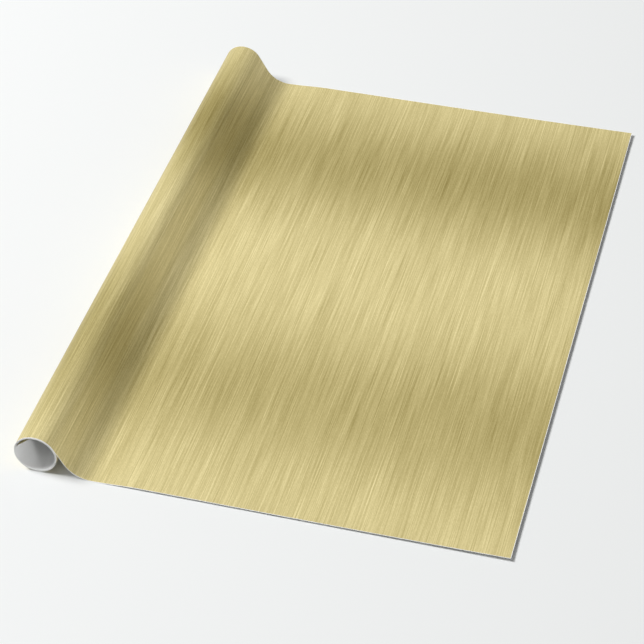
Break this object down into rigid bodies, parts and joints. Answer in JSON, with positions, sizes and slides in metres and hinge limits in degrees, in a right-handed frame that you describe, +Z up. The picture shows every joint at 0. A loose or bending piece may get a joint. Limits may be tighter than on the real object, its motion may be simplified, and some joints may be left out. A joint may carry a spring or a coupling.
{
  "type": "wrapping paper roll",
  "caption": "Coreless coil of printed gift wrap, partly unrolled: the paper leaves over the top, bends down in an S to the table and runs on as a flat sheet.",
  "frame": {"origin": "on the table, at the middle of the overall box's length and width", "axes": "+X from the coil towards the free end of the sheet, +Y along the coil, +Z up"},
  "size_m": [0.5264, 0.762, 0.0467],
  "materials": {
    "paper": "uncoated matte white paper",
    "print": "satin print of brushed gold metal"
  },
  "bodies": {
    "wrap": {"outer_turn_paper": "paper", "outer_turn_print": "print", "lead_off_paper": "paper", "lead_off_print": "print", "foot_bend_paper": "paper", "foot_bend_print": "print", "web_span_paper": "paper", "web_span_print": "print"},
    "coil": {"coil_turns_paper": "paper", "coil_turns_print": "print"},
    "core": {"core_turns_paper": "paper", "core_turns_print": "print"},
    "sheet": {"sheet_paper": "paper", "sheet_print": "print"},
    "free_end_1": {"free_end_1_paper": "paper", "free_end_1_print": "print"},
    "free_end_2": {"free_end_2_paper": "paper", "free_end_2_print": "print"},
    "free_end_3": {"free_end_3_paper": "paper", "free_end_3_print": "print"}
  },
  "joints": [
    {"name": "sheet_draw", "type": "slide", "parent": "wrap", "child": "sheet", "axis": [1, 0, 0], "range_m": [-0.1, 0.146], "deforming": ["web_span_paper", "web_span_print"]},
    {"name": "coil_spin", "type": "hinge", "parent": "wrap", "child": "coil", "pos_m": [-0.23983, 0, 0.0233], "axis": [0, 1, 0], "range_deg": [-246, 360]},
    {"name": "core_push", "type": "slide", "parent": "coil", "child": "core", "axis": [0, 1, 0], "range_m": [-0.06, 0.06]},
    {"name": "end_lift_1", "type": "hinge", "parent": "sheet", "child": "free_end_1", "pos_m": [0.14317, 0, 0], "axis": [0, -1, 0], "range_deg": [0, 30]},
    {"name": "end_lift_2", "type": "hinge", "parent": "free_end_1", "child": "free_end_2", "pos_m": [0.18317, 0, 0], "axis": [0, -1, 0], "range_deg": [0, 30]},
    {"name": "end_lift_3", "type": "hinge", "parent": "free_end_2", "child": "free_end_3", "pos_m": [0.22317, 0, 0], "axis": [0, -1, 0], "range_deg": [0, 30]}
  ],
  "couplings": [
    {"joint": "coil_spin", "follows": "sheet_draw", "rad_per_m": 42.82},
    {"joint": "end_lift_2", "follows": "end_lift_1", "ratio": 1},
    {"joint": "end_lift_3", "follows": "end_lift_1", "ratio": 1}
  ]
}
